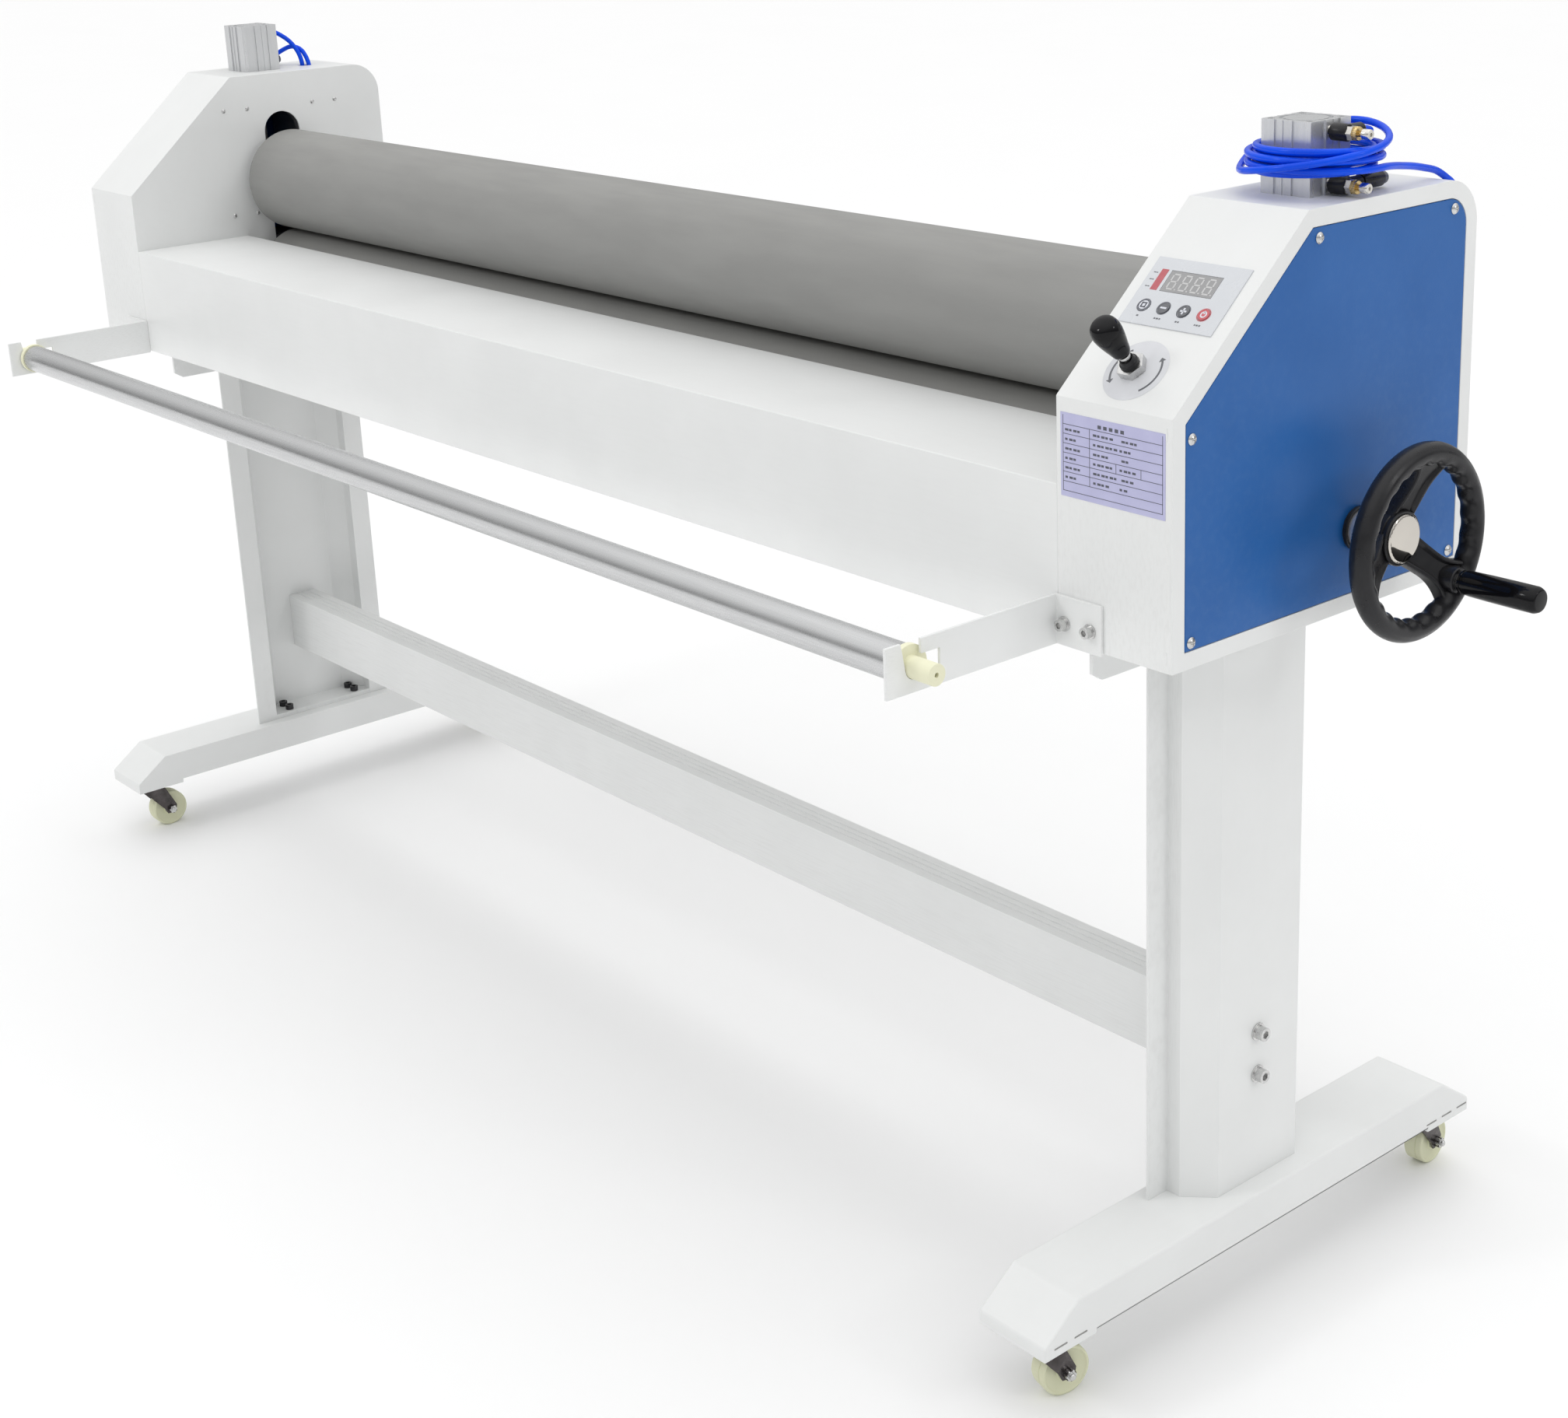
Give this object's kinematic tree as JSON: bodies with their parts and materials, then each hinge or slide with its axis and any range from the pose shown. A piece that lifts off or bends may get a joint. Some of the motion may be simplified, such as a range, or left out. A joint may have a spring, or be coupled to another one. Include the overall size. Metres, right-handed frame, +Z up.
{
  "type": "cold roll laminator",
  "caption": "Wide cold roll laminator on a wheeled stand: two rubber rollers between side housings, air cylinders, crank handwheel and front idler bar.",
  "frame": {"origin": "on the floor, midway between the two side housings and midway along the feet", "axes": "+X along the rollers towards the handwheel end, -Y towards the operator at the front, +Z up"},
  "size_m": [2.0656, 0.6947, 1.0675],
  "materials": {
    "white_paint": "semi-gloss powder coat",
    "blue_paint": "satin powder coat",
    "black_bolts": "black oxide",
    "zinc_screws": "bright nickel and zinc plate",
    "steel_plate": "machined",
    "cast_parts": "painted casting",
    "ground_steel": "ground",
    "roller_rubber": "matte ground silicone rubber",
    "anodised_aluminium": "satin anodised",
    "fitting_brass": "nickel plated brass and black plastic",
    "blue_tube": "glossy polyurethane tube",
    "black_plastic": "satin moulded",
    "gloss_black": "polished bakelite",
    "panel_film": "printed polyester film",
    "display_film": "tinted window",
    "white_key": "embossed film",
    "grey_key": "embossed film",
    "red_key": "embossed film",
    "chrome_cap": "mirror",
    "cream_nylon": "turned nylon",
    "caster_nylon": "moulded nylon",
    "zinc_plate": "zinc plated pressing"
  },
  "bodies": {
    "root": {"left_foot": "white_paint", "right_foot": "white_paint", "left_leg": "white_paint", "right_leg": "white_paint", "leg_base_bolts": "black_bolts", "crossbar": "white_paint", "frame_cap_screws": "zinc_screws", "left_housing": "white_paint", "right_housing": "white_paint", "left_side_cover": "blue_paint", "right_side_cover": "blue_paint", "housing_screws": "zinc_screws", "left_side_plate": "steel_plate", "right_side_plate": "steel_plate", "front_beam": "white_paint", "rear_beam": "white_paint", "slide_guides": "steel_plate", "drive_bearings": "cast_parts", "gear_motor": "cast_parts", "left_air_cylinder": "anodised_aluminium", "right_air_cylinder": "anodised_aluminium", "air_fittings": "fitting_brass", "hose_coil": "blue_tube", "hose_tail": "blue_tube", "left_air_tubes": "blue_tube", "valve_body": "black_plastic", "valve_nut": "zinc_screws", "control_panel": "panel_film", "display_window": "display_film", "power_inlet": "black_plastic", "left_idler_bracket": "white_paint", "right_idler_bracket": "white_paint", "caster_plates": "zinc_plate"},
    "drive_roller": {"drive_roller_shaft": "ground_steel", "drive_roller_rubber": "roller_rubber", "handwheel": "black_plastic", "hub_cap": "chrome_cap", "crank_spindle": "ground_steel"},
    "grip": {"crank_grip": "gloss_black"},
    "roller_carriage": {"left_bearing_block": "cast_parts", "right_bearing_block": "cast_parts", "piston_rods": "ground_steel"},
    "top_roller": {"top_roller_shaft": "ground_steel", "top_roller_rubber": "roller_rubber"},
    "idler": {"idler_tube": "anodised_aluminium", "idler_plugs": "cream_nylon"},
    "lever": {"valve_lever": "ground_steel", "valve_knob": "gloss_black"},
    "set_key": {"set_button": "white_key"},
    "minus_key": {"minus_button": "grey_key"},
    "plus_key": {"plus_button": "grey_key"},
    "power_key": {"power_button": "red_key"},
    "front_left_caster": {"front_left_fork": "zinc_plate"},
    "front_left_roll": {"front_left_wheel": "caster_nylon"},
    "front_right_caster": {"front_right_fork": "zinc_plate"},
    "front_right_roll": {"front_right_wheel": "caster_nylon"},
    "rear_left_caster": {"rear_left_fork": "zinc_plate"},
    "rear_left_roll": {"rear_left_wheel": "caster_nylon"},
    "rear_right_caster": {"rear_right_fork": "zinc_plate"},
    "rear_right_roll": {"rear_right_wheel": "caster_nylon"}
  },
  "joints": [
    {"name": "drive_roller_spin", "type": "hinge", "parent": "root", "child": "drive_roller", "pos_m": [0, 0.0254, 0.738], "axis": [1, 0, 0], "continuous": true},
    {"name": "crank_grip_spin", "type": "hinge", "parent": "drive_roller", "child": "grip", "pos_m": [1.07, 0.07147, 0.69651], "axis": [1, 0, 0], "continuous": true},
    {"name": "top_roller_lift", "type": "slide", "parent": "root", "child": "roller_carriage", "axis": [0, 0, 1], "range_m": [0, 0.028]},
    {"name": "top_roller_spin", "type": "hinge", "parent": "roller_carriage", "child": "top_roller", "pos_m": [0, 0.0254, 0.869], "axis": [1, 0, 0], "continuous": true},
    {"name": "idler_spin", "type": "hinge", "parent": "root", "child": "idler", "pos_m": [0, -0.355, 0.686], "axis": [1, 0, 0], "continuous": true},
    {"name": "valve_lever_tilt", "type": "hinge", "parent": "root", "child": "lever", "pos_m": [0.892, -0.17908, 0.90547], "axis": [0, 0.7493, 0.6623], "range_deg": [-20, 20]},
    {"name": "set_key_press", "type": "slide", "parent": "root", "child": "set_key", "axis": [0, 0.6623, -0.7493], "range_m": [0, 0.0006], "stiffness_N_per_m": 400, "springref_m": -0.0002},
    {"name": "minus_key_press", "type": "slide", "parent": "root", "child": "minus_key", "axis": [0, 0.6623, -0.7493], "range_m": [0, 0.0006], "stiffness_N_per_m": 400, "springref_m": -0.0002},
    {"name": "plus_key_press", "type": "slide", "parent": "root", "child": "plus_key", "axis": [0, 0.6623, -0.7493], "range_m": [0, 0.0006], "stiffness_N_per_m": 400, "springref_m": -0.0002},
    {"name": "power_key_press", "type": "slide", "parent": "root", "child": "power_key", "axis": [0, 0.6623, -0.7493], "range_m": [0, 0.0006], "stiffness_N_per_m": 400, "springref_m": -0.0002},
    {"name": "front_left_swivel", "type": "hinge", "parent": "root", "child": "front_left_caster", "pos_m": [-0.866, -0.2635, 0.062], "axis": [0, 0, 1], "continuous": true},
    {"name": "front_left_wheel_spin", "type": "hinge", "parent": "front_left_caster", "child": "front_left_roll", "pos_m": [-0.866, -0.2415, 0.024], "axis": [1, 0, 0], "continuous": true},
    {"name": "front_right_swivel", "type": "hinge", "parent": "root", "child": "front_right_caster", "pos_m": [0.866, -0.2635, 0.062], "axis": [0, 0, 1], "continuous": true},
    {"name": "front_right_wheel_spin", "type": "hinge", "parent": "front_right_caster", "child": "front_right_roll", "pos_m": [0.87095, -0.24206, 0.024], "axis": [0.9744, -0.225, 0], "continuous": true},
    {"name": "rear_left_swivel", "type": "hinge", "parent": "root", "child": "rear_left_caster", "pos_m": [-0.866, 0.2635, 0.062], "axis": [0, 0, 1], "continuous": true},
    {"name": "rear_left_wheel_spin", "type": "hinge", "parent": "rear_left_caster", "child": "rear_left_roll", "pos_m": [-0.86906, 0.28529, 0.024], "axis": [0.9903, 0.1392, 0], "continuous": true},
    {"name": "rear_right_swivel", "type": "hinge", "parent": "root", "child": "rear_right_caster", "pos_m": [0.866, 0.2635, 0.062], "axis": [0, 0, 1], "continuous": true},
    {"name": "rear_right_wheel_spin", "type": "hinge", "parent": "rear_right_caster", "child": "rear_right_roll", "pos_m": [0.86408, 0.28542, 0.024], "axis": [0.9962, 0.0872, 0], "continuous": true}
  ],
  "couplings": [
    {"joint": "top_roller_spin", "follows": "drive_roller_spin", "ratio": -1}
  ]
}
